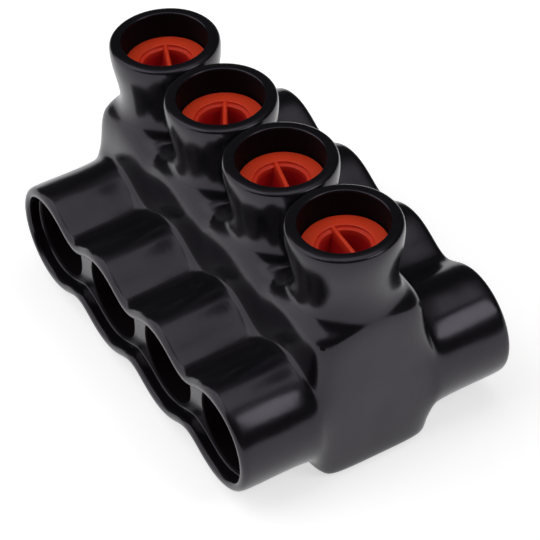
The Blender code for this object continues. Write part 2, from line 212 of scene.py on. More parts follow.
class MetalSizes(bpy.types.PropertyGroup):
    """Sizes and colours of the block and its set screws."""

    block_edge: length("Block edge", 0.0007, "Chamfer of the block's edges")
    port_radius: length("Port radius", 0.0083, "Bore of a wire port in the block")
    port_edge: length("Port edge", 0.0006, "Chamfer at the two ends of a port")
    screw_radius: length("Screw radius", 0.0079, "Crest of the screw's thread")
    screw_length: length("Screw length", 0.0160, "Length of a set screw")
    screw_edge: length("Screw edge", 0.0007, "Chamfer at the top of a screw")
    tip_radius: length("Tip radius", 0.0042, "Flat end of the screw's tip")
    tip_height: length("Tip height", 0.0030, "Height of the tip's cone")
    thread_pitch: length("Thread pitch", 0.00141, "Rise of the thread in one turn")
    thread_depth: length("Thread depth", 0.00070, "Depth of the screw's thread")
    tapping_gap: length("Tapping gap", 0.0001, "Gap from the screw's crest to the tapped hole")
    tapping_depth: length("Tapping depth", 0.0005, "Depth of the thread in the tapped hole")
    flats: length("Across flats", 0.00794, "Width of the hexagon socket")
    socket_depth: length("Socket depth", 0.0070, "Depth of the hexagon socket")
    block_tint: colour("Block tint", (0.78, 0.78, 0.77), "Colour of the tin-plated block")
    screw_tint: colour("Screw tint", (0.64, 0.64, 0.66), "Colour of the screws")


class StageSettings(bpy.types.PropertyGroup):
    """The camera, as a fit to the photograph gives it, and the studio's light."""

    azimuth: FloatProperty(name="Azimuth", default=math.radians(-29.154), subtype="ANGLE",
                           description="Way round the object to the camera, from its near end")
    elevation: FloatProperty(name="Elevation", default=math.radians(41.975), subtype="ANGLE",
                             description="Height of the camera over the floor")
    roll: FloatProperty(name="Roll", default=math.radians(-3.049), subtype="ANGLE",
                        description="Turn of the camera about its own line of sight")
    distance: length("Distance", 0.5647, "From the camera to what it aims at")
    aim: FloatVectorProperty(name="Aim", default=(-0.00142, -0.00792, 0.0254), subtype="TRANSLATION",
                             description="Point that the camera aims at")
    lens: FloatProperty(name="Lens", default=167.41, description="Focal length in millimetres")
    floor_tint: colour("Floor tint", (0.80, 0.80, 0.80), "Colour of the floor")
    floor_lift: share("Floor lift", 0.64, "Light that the floor itself adds towards white")
    walls: share("Walls", 0.03, "Strength of the light from the studio's dark walls")
    ceiling: share("Ceiling", 0.40, "Strength that the light from straight above adds")


# Node trees

class NodeTree:
    """A geometry node tree with a mesh socket and one named input for each size."""

    def __init__(self, name, inputs):
        self.tree = bpy.data.node_groups.new(name, "GeometryNodeTree")
        sockets = self.tree.interface
        sockets.new_socket("Mesh", in_out="INPUT", socket_type="NodeSocketGeometry")
        sockets.new_socket("Mesh", in_out="OUTPUT", socket_type="NodeSocketGeometry")
        for label, kind in inputs:
            sockets.new_socket(label, in_out="INPUT", socket_type="NodeSocket" + kind)
        self.given = self.tree.nodes.new("NodeGroupInput").outputs

    def add(self, kind, inputs, **settings):
        """A new node. Its inputs take sockets or plain values, by name or by number."""
        node = self.tree.nodes.new(kind)
        for key, value in settings.items():
            setattr(node, key, value)
        for key, value in inputs.items():
            if isinstance(value, bpy.types.NodeSocket):
                self.tree.links.new(value, node.inputs[key])
            else:
                node.inputs[key].default_value = value
        return node

    def math(self, operation, first, second=0.0):
        """What a Math node makes of two sockets or values."""
        return self.add("ShaderNodeMath", {0: first, 1: second}, operation=operation).outputs[0]

    def close(self, mesh, finish):
        """Ends the tree in plain mesh with its material."""
        plain = self.add("GeometryNodeRealizeInstances", {"Geometry": mesh})
        painted = self.add("GeometryNodeSetMaterial", {"Geometry": plain.outputs[0],
                                                       "Material": finish})
        self.add("NodeGroupOutput", {0: painted.outputs[0]})
        return self.tree


def cut_along_row_tree():
    """Cuts a hollow out of a mesh, once at each step along a row."""
    tree = NodeTree("cut_along_row", (("Hollow", "Object"), ("Copies", "Int"), ("First", "Vector"),
                                      ("Step", "Vector"), ("Finish", "Material")))
    hollow = tree.add("GeometryNodeObjectInfo", {"Object": tree.given["Hollow"]})
    row = tree.add("GeometryNodeMeshLine", {"Count": tree.given["Copies"],
                                            "Start Location": tree.given["First"],
                                            "Offset": tree.given["Step"]})
    copies = tree.add("GeometryNodeInstanceOnPoints", {"Points": row.outputs["Mesh"],
                                                       "Instance": hollow.outputs["Geometry"]})
    solid = tree.add("GeometryNodeRealizeInstances", {"Geometry": copies.outputs[0]})
    cut = tree.add("GeometryNodeMeshBoolean", {"Mesh 1": tree.given["Mesh"], "Mesh 2": solid.outputs[0]},
                   operation="DIFFERENCE", solver="EXACT")
    return tree.close(cut.outputs["Mesh"], tree.given["Finish"])


def threaded_rod_tree():
    """A rod whose side follows a thread, cut back by a chamfer at its top and a cone at its tip."""
    tree = NodeTree("threaded_rod", (("Radius", "Float"), ("Length", "Float"), ("Pitch", "Float"),
                                     ("Depth", "Float"), ("Edge", "Float"), ("Tip Radius", "Float"),
                                     ("Tip Height", "Float"), ("Steps", "Int"), ("Rows", "Int"),
                                     ("Finish", "Material")))
    given = tree.given
    rod = tree.add("GeometryNodeMeshCylinder", {"Vertices": given["Steps"], "Radius": given["Radius"],
                                                "Depth": given["Length"],
                                                "Side Segments": given["Rows"]})
    point = tree.add("ShaderNodeSeparateXYZ", {0: tree.add("GeometryNodeInputPosition", {}).outputs[0]})
    x, y = point.outputs[0], point.outputs[1]
    height = tree.math("ADD", point.outputs[2], tree.math("MULTIPLY", given["Length"], 0.5))
    turns = tree.math("DIVIDE", tree.math("ARCTAN2", y, x), 2 * math.pi)
    phase = tree.math("SUBTRACT", tree.math("DIVIDE", height, given["Pitch"]), turns)
    wave = tree.math("MULTIPLY", tree.math("PINGPONG", phase, 0.5), 2.0)
    start, end = THREAD_FLANK
    flank = tree.add("ShaderNodeMapRange", {"Value": wave, "From Min": start, "From Max": end})
    thread = tree.math("SUBTRACT", given["Radius"],
                       tree.math("MULTIPLY", flank.outputs[0], given["Depth"]))
    from_top = tree.math("SUBTRACT", given["Length"], height)
    chamfer = tree.math("ADD", tree.math("SUBTRACT", given["Radius"], given["Edge"]), from_top)
    widening = tree.math("DIVIDE", tree.math("SUBTRACT", given["Radius"], given["Tip Radius"]),
                         given["Tip Height"])
    cone = tree.math("ADD", given["Tip Radius"], tree.math("MULTIPLY", height, widening))
    reach = tree.math("MINIMUM", thread, tree.math("MINIMUM", chamfer, cone))
    factor = tree.math("DIVIDE", reach, given["Radius"])
    place = tree.add("ShaderNodeCombineXYZ", {0: tree.math("MULTIPLY", x, factor),
                                              1: tree.math("MULTIPLY", y, factor), 2: height})
    shaped = tree.add("GeometryNodeSetPosition", {"Geometry": rod.outputs["Mesh"],
                                                  "Position": place.outputs[0]})
    return tree.close(shaped.outputs[0], given["Finish"])


def placed_piece_tree():
    """Puts a piece in its place, and keeps its own coordinates for its material."""
    tree = NodeTree("placed_piece", (("Turn", "Rotation"), ("Place", "Vector"), ("Finish", "Material")))
    own = tree.add("GeometryNodeInputPosition", {})
    kept = tree.add("GeometryNodeStoreNamedAttribute", {"Geometry": tree.given["Mesh"], "Name": "own_place",
                                                        "Value": own.outputs[0]},
                    data_type="FLOAT_VECTOR", domain="POINT")
    moved = tree.add("GeometryNodeTransform", {"Geometry": kept.outputs[0],
                                               "Translation": tree.given["Place"],
                                               "Rotation": tree.given["Turn"]})
    return tree.close(moved.outputs[0], tree.given["Finish"])


def tree_named(name, maker):
    """The tree of this name, made the first time that it is asked for."""
    return bpy.data.node_groups.get(name) or maker()


# Mesh helpers

def in_scene(name, data):
    """A new object in the scene that shows this mesh, lamp or camera."""
    obj = bpy.data.objects.new(name, data)
    bpy.context.scene.collection.objects.link(obj)
    return obj


def mesh_of(name, bm):
    """The mesh of a finished bmesh, with its faces turned outwards."""
    bmesh.ops.recalc_face_normals(bm, faces=bm.faces)
    mesh = bpy.data.meshes.new(name)
    bm.to_mesh(mesh)
    bm.free()
    return mesh


def worked_in(obj):
    """The plain mesh that an object's modifiers make. The object itself is taken away."""
    bpy.context.view_layer.update()
    graph = bpy.context.evaluated_depsgraph_get()
    mesh = bpy.data.meshes.new_from_object(obj.evaluated_get(graph))
    bpy.data.objects.remove(obj, do_unlink=True)
    return mesh


def grown(tree, mesh, values):
    """The mesh that a node tree makes of this one, with these values for its named inputs."""
    obj = in_scene("blank", mesh)
    modifier = obj.modifiers.new(tree.name, "NODES")
    modifier.node_group = tree
    for socket in tree.interface.items_tree:
        if socket.in_out == "INPUT" and socket.name in values:
            modifier[socket.identifier] = values[socket.name]
    return worked_in(obj)


def cut(mesh, hollow, finish, first=(0, 0, 0), copies=1):
    """Cuts a hollow out of a mesh, once at its first place or at each tap along the row."""
    cutter = in_scene("hollow", hollow)
    made = grown(tree_named("cut_along_row", cut_along_row_tree), mesh,
                 {"Hollow": cutter, "Copies": copies, "First": first, "Step": (0, -PITCH, 0),
                  "Finish": finish})
    bpy.data.objects.remove(cutter, do_unlink=True)
    return made


def finished(name, mesh, body, slot, *nodes):
    """Makes the finished piece: smooth but for its sharp edges, on its body, for its nodes."""
    mesh.shade_smooth()
    mesh.set_sharp_from_angle(angle=SHARP_ANGLE)
    obj = in_scene(name, mesh)
    even = obj.modifiers.new("Even shading", "WEIGHTED_NORMAL")
    even.keep_sharp = True
    mesh = worked_in(obj)
    mesh.name = name
    obj = in_scene(name, mesh)
    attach(obj, body)
    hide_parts(*nodes)


def box_mesh(name, size, centre, edge=0.0, segments=1):
    """A box, with its edges bevelled if an edge width is given."""
    bm = bmesh.new()
    bmesh.ops.create_cube(bm, size=1.0, matrix=Matrix.LocRotScale(Vector(centre), None, Vector(size)))
    if edge:
        bmesh.ops.bevel(bm, geom=bm.edges, offset=edge, segments=segments, affect="EDGES")
    return mesh_of(name, bm)


def filleted(corners):
    """A profile of (radius, height) points. Each corner gives its place and its rounding."""
    points = []
    for i, (radius, height, rounding) in enumerate(corners):
        corner = Vector((radius, height))
        if not rounding:
            points.append(corner)
            continue
        before = (Vector(corners[i - 1][:2]) - corner).normalized()
        after = (Vector(corners[i + 1][:2]) - corner).normalized()
        half = before.angle(after) / 2
        centre = corner + (before + after).normalized() * rounding / math.sin(half)
        start = (corner + before * rounding / math.tan(half) - centre).normalized()
        end = (corner + after * rounding / math.tan(half) - centre).normalized()
        for step in range(FILLET_STEPS + 1):
            points.append(centre + start.slerp(end, step / FILLET_STEPS) * rounding)
    return points


def turned_mesh(name, profile, steps=ROUND_STEPS, along="Z"):
    """A profile of (radius, height) points turned into a closed solid about Z, or about X."""
    bm = bmesh.new()
    line = [bm.verts.new((radius, 0, height)) for radius, height in profile]
    edges = [bm.edges.new(pair) for pair in zip(line, line[1:])]
    bmesh.ops.spin(bm, geom=line + edges, axis=(0, 0, 1), cent=(0, 0, 0), angle=2 * math.pi,
                   steps=steps, use_merge=True)
    bmesh.ops.remove_doubles(bm, verts=bm.verts, dist=0.000001)
    if along == "X":
        bmesh.ops.rotate(bm, verts=bm.verts, matrix=Matrix.Rotation(math.pi / 2, 3, "Y"))
    return mesh_of(name, bm)


# Materials

def new_finish(name, roughness, metallic=0.0):
    """A material with its nodes, links and shader. A finish may vary the roughness later."""
    made = bpy.data.materials.new(name)
    made.use_nodes = True
    nodes, links = made.node_tree.nodes, made.node_tree.links
    shader = nodes["Principled BSDF"]
    shader.inputs["Metallic"].default_value = metallic
    shader.inputs["Roughness"].default_value = roughness
    return made, nodes, links, shader


def noise(nodes, links, place, scale, detail, stretch=(1, 1, 1)):
    """Noise with features of about one over scale metres."""
    mapping = nodes.new("ShaderNodeMapping")
    mapping.inputs["Scale"].default_value = stretch
    links.new(place, mapping.inputs["Vector"])
    made = nodes.new("ShaderNodeTexNoise")
    made.inputs["Scale"].default_value = scale
    made.inputs["Detail"].default_value = detail
    links.new(mapping.outputs[0], made.inputs["Vector"])
    return made.outputs["Fac"]


def ranged(nodes, links, value, low, high, start=0.3, end=0.7):
    """A value from start to end taken to the range from low to high."""
    made = nodes.new("ShaderNodeMapRange")
    for key, number in (("From Min", start), ("From Max", end), ("To Min", low), ("To Max", high)):
        made.inputs[key].default_value = number
    links.new(value, made.inputs["Value"])
    return made.outputs[0]


def combined(nodes, links, operation, first, second):
    """What a Math node makes of two sockets."""
    made = nodes.new("ShaderNodeMath")
    made.operation = operation
    links.new(first, made.inputs[0])
    links.new(second, made.inputs[1])
    return made.outputs[0]


def varied(nodes, links, value, tint, spread):
    """A colour that a value makes a little darker and a little lighter."""
    made = nodes.new("ShaderNodeMix")
    made.data_type = "RGBA"
    made.inputs["A"].default_value = (*[part * (1 - spread) for part in tint], 1.0)
    made.inputs["B"].default_value = (*[min(part * (1 + spread), 1.0) for part in tint], 1.0)
    links.new(value, made.inputs["Factor"])
    return made.outputs["Result"]


def bumped(nodes, links, shader, layers):
    """Stacks (height, distance) layers of bump on a shader."""
    below = None
    for height, distance in layers:
        bump = nodes.new("ShaderNodeBump")
        bump.inputs["Distance"].default_value = distance
        links.new(height, bump.inputs["Height"])
        if below:
            links.new(below, bump.inputs["Normal"])
        below = bump.outputs[0]
    links.new(below, shader.inputs["Normal"])


def matte_shaded_finish(tint):
    """The inside of the dip moulding: the dull, slightly grainy face that lay on the mould, its colour
    darkened as painted shade.
    """
    made, nodes, links, shader = new_finish("matte_plastisol_painted_shade", 0.75)
    place = nodes.new("ShaderNodeTexCoord").outputs["Object"]
    grain = noise(nodes, links, place, 1200, 5)
    # painted shade: the inside's colour is the outside's, darkened
    shade = [part * INSIDE_PAINTED_SHADE for part in tint]
    links.new(varied(nodes, links, grain, shade, 0.2), shader.inputs["Base Color"])
    links.new(ranged(nodes, links, grain, 0.50, 0.70), shader.inputs["Roughness"])
    shader.inputs["Specular IOR Level"].default_value = 0.07
    bumped(nodes, links, shader, ((grain, 0.00002),))
    return made


def plastisol_finish(tint):
    """Glossy dipped plastisol: faint orange peel, cloudy gloss and fine rub marks."""
    made, nodes, links, shader = new_finish("black_plastisol", 0.25)
    shader.inputs["Specular Tint"].default_value = COOL_GLOSS
    place = nodes.new("ShaderNodeTexCoord").outputs["Object"]
    cloud = noise(nodes, links, place, 70, 4)
    rubbed = noise(nodes, links, place, 900, 6)
    dip = noise(nodes, links, place, 85, 1)
    peel = noise(nodes, links, place, 260, 2)
    grain = noise(nodes, links, place, 3000, 3)
    links.new(varied(nodes, links, cloud, tint, 0.2), shader.inputs["Base Color"])
    clouded = ranged(nodes, links, cloud, 0.17, 0.23)
    marks = ranged(nodes, links, rubbed, 0.0, 0.05, 0.5, 0.8)
    links.new(combined(nodes, links, "ADD", clouded, marks), shader.inputs["Roughness"])
    bumped(nodes, links, shader, ((dip, 0.0003), (peel, 0.00002), (grain, 0.000002)))
    return made


def polyethylene_finish(tint, cup_shade_tint, depth):
    """Waxy red polyethylene with a fine mould texture, its colour darkened down in the cup as painted
    shade.
    """
    made, nodes, links, shader = new_finish("red_polyethylene", 0.36)
    own = nodes.new("ShaderNodeAttribute")
    own.attribute_name = "own_place"
    place = own.outputs["Vector"]
    cloud = noise(nodes, links, place, 160, 4)
    grain = noise(nodes, links, place, 2600, 4)
    height = nodes.new("ShaderNodeSeparateXYZ")
    links.new(place, height.inputs[0])
    # painted shade: the colour goes from the tint at the ring to the darker cup shade tint down in the cup
    cup_shade_mix = nodes.new("ShaderNodeMix")
    cup_shade_mix.data_type = "RGBA"
    links.new(ranged(nodes, links, height.outputs["Z"], 0.0, 1.0, -depth, 0.0), cup_shade_mix.inputs["Factor"])
    links.new(varied(nodes, links, cloud, cup_shade_tint, 0.08), cup_shade_mix.inputs["A"])
    links.new(varied(nodes, links, cloud, tint, 0.08), cup_shade_mix.inputs["B"])
    links.new(cup_shade_mix.outputs["Result"], shader.inputs["Base Color"])
    links.new(ranged(nodes, links, grain, 0.30, 0.42), shader.inputs["Roughness"])
    shader.inputs["Specular IOR Level"].default_value = 0.45
    shader.inputs["Subsurface Weight"].default_value = 0.12
    shader.inputs["Subsurface Radius"].default_value = (1.0, 0.25, 0.12)
    shader.inputs["Subsurface Scale"].default_value = 0.0008
    bumped(nodes, links, shader, ((cloud, 0.00003), (grain, 0.000006)))
    return made


def metal_finish(name, tint, stretch, roughness):
    """Bright metal with the lines of the tool or the die that shaped it."""
    made, nodes, links, shader = new_finish(name, roughness, 1.0)
    place = nodes.new("ShaderNodeTexCoord").outputs["Object"]
    lines = noise(nodes, links, place, 1500, 3, stretch)
    cloud = noise(nodes, links, place, 120, 5)
    links.new(varied(nodes, links, cloud, tint, 0.08), shader.inputs["Base Color"])
    finest, coarsest = [roughness + change for change in TOOL_LINES]
    links.new(ranged(nodes, links, lines, finest, coarsest), shader.inputs["Roughness"])
    bumped(nodes, links, shader, ((lines, 0.00001),))
    return made


# Jacket

class JacketPlan:
    """Where the parts of the jacket lie, from the frame and the jacket's own sizes."""

    def __init__(self, sizes):
        self.sizes = sizes
        self.body_x = BLOCK_HIGH.x + sizes.fit + sizes.side_wall
        self.body_y = BLOCK_HIGH.y + sizes.fit + sizes.end_wall
        self.body_top = BLOCK_HIGH.z + sizes.fit + sizes.top_wall
        self.chimney = RIM_Z - self.body_top
        self.barrel = MOUTH_X - self.body_x


def on_disc(u, v):
    """A point of the square from -1 to 1 moved to the disc, each square ring onto a round one."""
    if u == 0 and v == 0:
        return 0.0, 0.0
    if abs(u) >= abs(v):
        reach, angle = u, math.pi / 4 * (v / u)
        return reach * math.cos(angle), reach * math.sin(angle)
    reach, angle = v, math.pi / 4 * (u / v)
    return reach * math.sin(angle), reach * math.cos(angle)


def chimney_levels(plan):
    """(radius, height) of each ring: up the chimney, over its rim and down the well."""
    sizes = plan.sizes
    full = 3 / (2 + math.cos(2 * math.pi / RING_CORNERS))  # smoothing shrinks a ring by this much
    levels = [
        (sizes.root_radius, plan.body_top),
        (sizes.neck_radius, plan.body_top + sizes.neck_start * plan.chimney),
        (sizes.neck_radius, plan.body_top + sizes.neck_end * plan.chimney),
        (sizes.rim_radius, plan.body_top + sizes.rim_start * plan.chimney),
    ]
    for inward, down in CAGE_EDGE:
        levels.append((sizes.rim_radius - inward * sizes.rim_edge, RIM_Z - down * sizes.rim_edge))
    for outward, down in CAGE_LIP:
        levels.append((sizes.well_radius + outward * sizes.lip, RIM_Z - down * sizes.lip))
    levels.append((sizes.well_radius, plan.body_top))
    levels.append((sizes.well_radius, BLOCK_HIGH.z - sizes.floor_wall / 2))
    return [(radius * full, height) for radius, height in levels]


def barrel_levels(plan):
    """(barrel radius, distance from the middle) of each outline: out to the mouth and into it."""
    sizes = plan.sizes
    radius = sizes.barrel_radius * CAGE_FULL
    levels = [
        (radius + sizes.barrel_flare, plan.body_x),
        (radius, plan.body_x + sizes.flare_end * plan.barrel),
        (radius, MOUTH_X - 2 * sizes.mouth_edge),
        (radius, MOUTH_X - sizes.mouth_edge / 2),
        (radius - sizes.mouth_edge, MOUTH_X),
    ]
    inner = (sizes.barrel_radius - sizes.mouth_wall) * CAGE_FULL
    floor = MOUTH_X - sizes.recess_depth
    for outward, down in CAGE_LIP:
        levels.append((inner + outward * sizes.mouth_lip, MOUTH_X - down * sizes.mouth_lip))
    levels += [(inner, floor + 2 * sizes.lip), (inner, floor), (inner - 2 * sizes.lip, floor)]
    return levels


def barrel_point(plan, radius, y, row):
    """Where a corner of the side grid goes on the outline of the row of barrels.

    row is 1 over the port axis, -1 under it and 0 on it. The grid has lines on each axis, a
    quarter pitch either side of it, between the taps and at the row's two ends.
    """
    sizes = plan.sizes
    quarter = PITCH / 4
    tap = min(TAP_Y, key=lambda centre: abs(centre - y))
    quarters = round((y - tap) / quarter)
    if abs(quarters) < 2:
        rise = math.sqrt(radius ** 2 - (quarters * quarter) ** 2)
        return y, AXIS_Z + row * rise
    if round(abs(y) / quarter) == 2 * TAPS:
        angle = sizes.end_corner * row
        return tap + math.copysign(radius * math.cos(angle), y), AXIS_Z + radius * math.sin(angle)
    shoulder = math.sqrt(radius ** 2 - quarter ** 2)
    valley = sizes.upper_valley if row > 0 else sizes.lower_valley
    # The smooth surface passes a third of the way from this corner to its neighbours
    height = 1.5 * (valley + radius - sizes.barrel_radius) - 0.5 * shoulder
    return y, AXIS_Z + row * height


def box_grid(bm, plan):
    """The body as a box whose faces are cut along the lines that the patches need."""
    sizes = plan.sizes
    size = Vector((2 * plan.body_x, 2 * plan.body_y, plan.body_top + sizes.floor_sag))
    centre = Vector((0, 0, (plan.body_top - sizes.floor_sag) / 2))
    bmesh.ops.create_cube(bm, size=1.0, matrix=Matrix.LocRotScale(centre, None, size))
    lines = [((x, 0, 0), (1, 0, 0)) for x in (-plan.body_x / 2, 0, plan.body_x / 2)]
    quarters = range(-2 * TAPS, 2 * TAPS + 1)
    lines += [((0, q * PITCH / 4, 0), (0, 1, 0)) for q in quarters]
    rows = (AXIS_Z - sizes.barrel_radius, AXIS_Z, AXIS_Z + sizes.barrel_radius)
    lines += [((0, 0, z), (0, 0, 1)) for z in rows]
    for point, normal in lines:
        bmesh.ops.bisect_plane(bm, geom=bm.verts[:] + bm.edges[:] + bm.faces[:],
                               plane_co=point, plane_no=normal)


def draw_out(bm, faces, seat, levels, where):
    """Extrudes a patch once for each level and puts its corners where that level has them."""
    for level in levels:
        made = bmesh.ops.extrude_face_region(bm, geom=faces)["geom"]
        bmesh.ops.delete(bm, geom=faces, context="FACES")
        faces = [part for part in made if isinstance(part, bmesh.types.BMFace)]
        for corner in {corner for face in faces for corner in face.verts}:
            corner.co = where(level, corner[seat])


def jacket_cage(plan):
    """The box with its chimneys drawn up and into wells, and its rows of barrels drawn sideways."""
    bm = bmesh.new()
    box_grid(bm, plan)
    seat = bm.verts.layers.float_vector.new("seat")
    for corner in bm.verts:
        corner[seat] = corner.co
    half_cell = PITCH / 2
    near = plan.sizes.fit
    levels = chimney_levels(plan)
    for tap in TAP_Y:
        cell = [f for f in bm.faces if abs(f.calc_center_median().z - plan.body_top) < near
                and abs(f.calc_center_median().y - tap) < half_cell]

        def on_chimney(level, point):
            radius, height = level
            across, along = round(point.x / plan.body_x, 3), round((point.y - tap) / half_cell, 3)
            u, v = on_disc(across, along)
            place = Vector((radius * u, tap + radius * v, height))
            if level is levels[0] and abs(across * along) > CELL_CORNER:
                place = point.lerp(place, plan.sizes.pocket_share)
                place.z -= plan.sizes.pocket
            return place

        draw_out(bm, cell, seat, levels, on_chimney)
    for side in (-1, 1):
        wall = [f for f in bm.faces if abs(f.calc_center_median().x - side * plan.body_x) < near
                and abs(f.calc_center_median().z - AXIS_Z) < plan.sizes.barrel_radius
                and abs(f.calc_center_median().y) < TAPS * half_cell]

        def on_barrels(level, point):
            radius, reach = level
            row = round((point.z - AXIS_Z) / plan.sizes.barrel_radius)
            y, z = barrel_point(plan, radius, point.y, row)
            return Vector((side * reach, y, z))

        draw_out(bm, wall, seat, barrel_levels(plan), on_barrels)
    bm.verts.layers.float_vector.remove(seat)
    return mesh_of("jacket_cage", bm)


def in_well(plan, point):
    """Whether a corner of the cage belongs to the wall or the floor of a well."""
    tap = min(TAP_Y, key=lambda centre: abs(centre - point.y))
    between = (plan.sizes.well_radius + plan.sizes.neck_radius) / 2
    low = BLOCK_HIGH.z - plan.sizes.floor_wall
    return point.z > low and math.hypot(point.x, point.y - tap) < between


def jacket_skin(plan):
    """The cage made smooth, with its body and the roots of chimneys and barrels melted."""
    sizes = plan.sizes
    skin = in_scene("jacket_skin", jacket_cage(plan))
    group = skin.vertex_groups.new(name="melt")
    for corner in skin.data.vertices:
        up = (corner.co.z - plan.body_top) / plan.chimney
        out = (abs(corner.co.x) - plan.body_x) / plan.barrel
        weight = max(1 - max(up, out, 0.0) / sizes.melt_reach, 0.0)
        group.add([corner.index], 0.0 if in_well(plan, corner.co) else weight, "REPLACE")
    dip = skin.modifiers.new("Dip", "SUBSURF")
    dip.levels = dip.render_levels = 1
    melt = skin.modifiers.new("Melt", "SMOOTH")
    melt.factor = sizes.melt_strength
    melt.iterations = sizes.melt_passes
    melt.vertex_group = group.name
    cure = skin.modifiers.new("Cure", "SUBSURF")
    cure.levels = cure.render_levels = 1
    return worked_in(skin)


def inside_jacket(plan, point):
    """Whether a point of the skin lies in a well, in a wire entry or around the block."""
    sizes = plan.sizes
    tap = min(TAP_Y, key=lambda centre: abs(centre - point.y))
    from_axis = math.hypot(point.y - tap, point.z - AXIS_Z)
    well = in_well(plan, point) and point.z < RIM_Z - 2 * sizes.lip
    entry = from_axis < sizes.entry_radius + sizes.lip and abs(point.x) < MOUTH_X - sizes.recess_depth
    reach = ROOM_REACH * sizes.fit
    room = all(low - reach < part < high + reach for low, part, high
               in zip(BLOCK_LOW, point, BLOCK_HIGH))
    return well or entry or room


def wire_entry(sizes):
    """The bore for the wires of one tap, through both barrels, with a lip at each recess."""
    floor = MOUTH_X - sizes.recess_depth
    return turned_mesh("wire_entry", filleted((
        (0, -MOUTH_X, 0),
        (sizes.entry_radius + sizes.lip, -MOUTH_X, 0),
        (sizes.entry_radius + sizes.lip, -floor, 0),
        (sizes.entry_radius, sizes.lip - floor, 0),
        (sizes.entry_radius, floor - sizes.lip, 0),
        (sizes.entry_radius + sizes.lip, floor, 0),
        (sizes.entry_radius + sizes.lip, MOUTH_X, 0),
        (0, MOUTH_X, 0),
    )), along="X")


def make_jacket(sizes):
    """The dip-moulded jacket: its skin, hollowed for the block, the table and the wires."""
    plan = JacketPlan(sizes)
    finish = plastisol_finish(sizes.tint)
    room = BLOCK_HIGH - BLOCK_LOW + Vector((2, 2, 2)) * sizes.fit
    middle = (BLOCK_LOW + BLOCK_HIGH) / 2
    table = (4 * plan.body_x, 4 * plan.body_y, sizes.floor_wall)
    mesh = jacket_skin(plan)
    mesh = cut(mesh, box_mesh("block_space", room, middle, sizes.block_edge), finish)
    mesh = cut(mesh, box_mesh("table_space", table, (0, 0, -sizes.floor_wall / 2)), finish)
    mesh = cut(mesh, wire_entry(sizes), finish, first=(0, TAP_Y[0], AXIS_Z), copies=TAPS)
    mesh.materials.clear()
    mesh.materials.append(finish)
    mesh.materials.append(matte_shaded_finish(sizes.tint))
    # faces in the wells, the wire entries and around the block get the matte finish, darkened as painted
    # shade
    for face in mesh.polygons:
        face.material_index = int(inside_jacket(plan, face.center))
    finished("moulded_jacket", mesh, "connector", "black_plastisol", "insulating_jacket")


# Plugs

def plug_blank(radius, sizes):
    """The cup, its ring and its skirt. The origin is the middle of the ring's upper face."""
    ring = radius - sizes.ring
    cup = ring - sizes.step
    base = cup - sizes.draft
    floor = sizes.depth - sizes.wall
    edge = sizes.edge
    return turned_mesh("plug_cup", filleted((
        (0, -floor, 0),
        (base, -floor, sizes.step),
        (cup, -sizes.step, edge),
        (ring, -sizes.step, edge),
        (ring, 0, edge),
        (radius, 0, 2 * edge),
        (radius, -sizes.skirt, edge),
        (radius - sizes.wall, -sizes.skirt, edge),
        (radius - sizes.wall, -sizes.wall - sizes.step, edge),
        (cup + sizes.wall, -sizes.wall - sizes.step, edge),
        (base + sizes.wall, -sizes.depth, 3 * edge),
        (0, -sizes.depth, 0),
    )))


def rib_mesh(radius, sizes):
    """The rib across the cup: thin and rounded on top, leaning a little, its ends in the wall."""
    ring = radius - sizes.ring
    base = ring - sizes.step - sizes.draft
    floor = sizes.depth - sizes.wall
    bm = bmesh.new()
    bmesh.ops.create_cube(bm, size=2.0)
    top = []
    for corner in bm.verts:
        lengthways, across, up = corner.co
        if up > 0:
            reach = ring + sizes.wall / 4
            corner.co = (lengthways * reach, across * sizes.rib_top / 2 - sizes.rib_lean,
                         -sizes.rib_drop)
            top.append(corner)
        else:
            reach = base + sizes.wall / 2
            corner.co = (lengthways * reach, across * sizes.rib_base / 2, -floor - sizes.wall / 2)
    bm.normal_update()
    edges = [edge for edge in bm.edges if all(corner in top for corner in edge.verts)]
    bmesh.ops.bevel(bm, geom=edges, offset=sizes.rib_top * RIB_ROUND, segments=4, profile=0.5,
                    affect="EDGES")
    return mesh_of("pull_rib", bm)


def plug_mesh(radius, sizes):
    """One push-in plug with its rib joined on."""
    plug = in_scene("plug", plug_blank(radius, sizes))
    rib = in_scene("pull_rib", rib_mesh(radius, sizes))
    join = plug.modifiers.new("Join", "BOOLEAN")
    join.operation = "UNION"
    join.solver = "MANIFOLD"
    join.object = rib
    mesh = worked_in(plug)
    bpy.data.objects.remove(rib, do_unlink=True)
    return mesh


def place_piece(name, blank, finish, place, turn, body, slot, node):
    """A copy of a blank in its place, as the finished piece of one body."""
    mesh = grown(tree_named("placed_piece", placed_piece_tree), blank.copy(),
                 {"Turn": turn, "Place": place, "Finish": finish})
    finished(name, mesh, body, slot, node)


def body_with(node):
    """The body that carries a node."""
    groups = frame["record"]["behaviour"]["bodies"]
    return next(body for body, nodes in groups.items() if node in nodes)


def make_plugs(plugs, jacket):
    """The caps of the wells and the plugs of the wire ports."""
    # the painted shade in the cup deepens over three steps' depth
    finish = polyethylene_finish(plugs.tint, plugs.cup_shade_tint, plugs.step * 3)
    cap = plug_mesh(jacket.well_radius - plugs.fit, plugs)
    stopper = plug_mesh(jacket.entry_radius - plugs.fit, plugs)
    for i, turn in enumerate(plugs.turns):
        node = f"screw_cap_{i + 1}"
        place_piece(f"red_cap_{i + 1}", cap, finish, seat_of(node, (0, 0, 1)), (0, 0, turn),
                    body_with(node), "red_plastic", node)
    for side, word in ((-1, "left"), (1, "right")):
        for i in range(TAPS):
            node = f"port_plug_{word}_{i + 1}"
            place_piece(f"red_plug_{word}_{i + 1}", stopper, finish, seat_of(node, (side, 0, 0)),
                        (0, side * math.pi / 2, 0), body_with(node), "red_plastic", node)


# Block and screws

